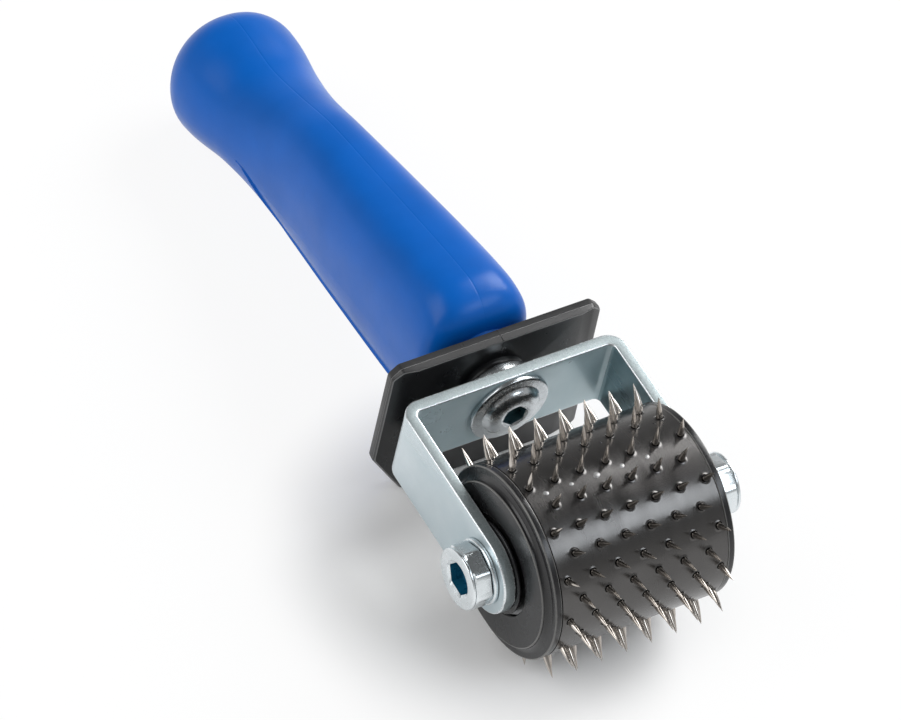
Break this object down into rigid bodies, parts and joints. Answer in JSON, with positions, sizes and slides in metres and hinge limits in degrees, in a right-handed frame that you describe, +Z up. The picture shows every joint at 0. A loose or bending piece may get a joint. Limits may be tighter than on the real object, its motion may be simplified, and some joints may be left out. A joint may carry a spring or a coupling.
{
  "type": "dough docker",
  "caption": "Hand-held perforating roller: a drum set with steel needles turns on ball bearings in a bent steel yoke, behind it a black guard and a blue moulded handle.",
  "frame": {"origin": "middle of the bounding box at floor level, with the tool lying on its needles and its pommel", "axes": "+Y along the tool from the roller to the pommel, +X along the axle, +Z up"},
  "size_m": [0.0764, 0.2234, 0.0615],
  "materials": {
    "blue_grip": "satin moulded",
    "black_plastic": "satin moulded",
    "black_cap": "smooth satin, turned",
    "zinc_plate": "bright zinc plate with a faint blue tint",
    "zinc_bolt": "bright zinc plate",
    "polished_steel": "polished",
    "needle_steel": "dark satin steel drum with bright needles",
    "backing_steel": "turned",
    "bearing_steel": "ground",
    "brass_insert": "turned"
  },
  "bodies": {
    "holder": {"handle_grip": "blue_grip", "handle_insert": "brass_insert", "guard": "black_plastic", "guard_spacer": "zinc_plate", "yoke": "zinc_plate", "yoke_screw": "polished_steel", "axle_sleeve": "bearing_steel", "axle_bolt_left": "zinc_bolt", "axle_bolt_right": "zinc_bolt", "axle_washer_left": "zinc_bolt", "axle_washer_right": "zinc_bolt", "spacer_left": "black_cap", "spacer_right": "black_cap", "bearing_inner_left": "bearing_steel", "bearing_inner_right": "bearing_steel"},
    "roller": {"needle_shell": "needle_steel", "needle_backing": "backing_steel", "end_cap_left": "black_cap", "end_cap_right": "black_cap", "bearing_outer_left": "bearing_steel", "bearing_outer_right": "bearing_steel"},
    "ball_row_left": {"bearing_balls_left": "bearing_steel"},
    "ball_row_right": {"bearing_balls_right": "bearing_steel"}
  },
  "joints": [
    {"name": "roller_spin", "type": "hinge", "parent": "holder", "child": "roller", "pos_m": [0, -0.0809, 0.03072], "axis": [1, 0, 0], "continuous": true},
    {"name": "ball_row_left_spin", "type": "hinge", "parent": "holder", "child": "ball_row_left", "pos_m": [-0.0223, -0.0809, 0.03072], "axis": [1, 0, 0], "continuous": true},
    {"name": "ball_row_right_spin", "type": "hinge", "parent": "holder", "child": "ball_row_right", "pos_m": [0.0223, -0.0809, 0.03072], "axis": [1, 0, 0], "continuous": true}
  ],
  "couplings": [
    {"joint": "ball_row_left_spin", "follows": "roller_spin", "ratio": 0.6154},
    {"joint": "ball_row_right_spin", "follows": "roller_spin", "ratio": 0.6154}
  ]
}
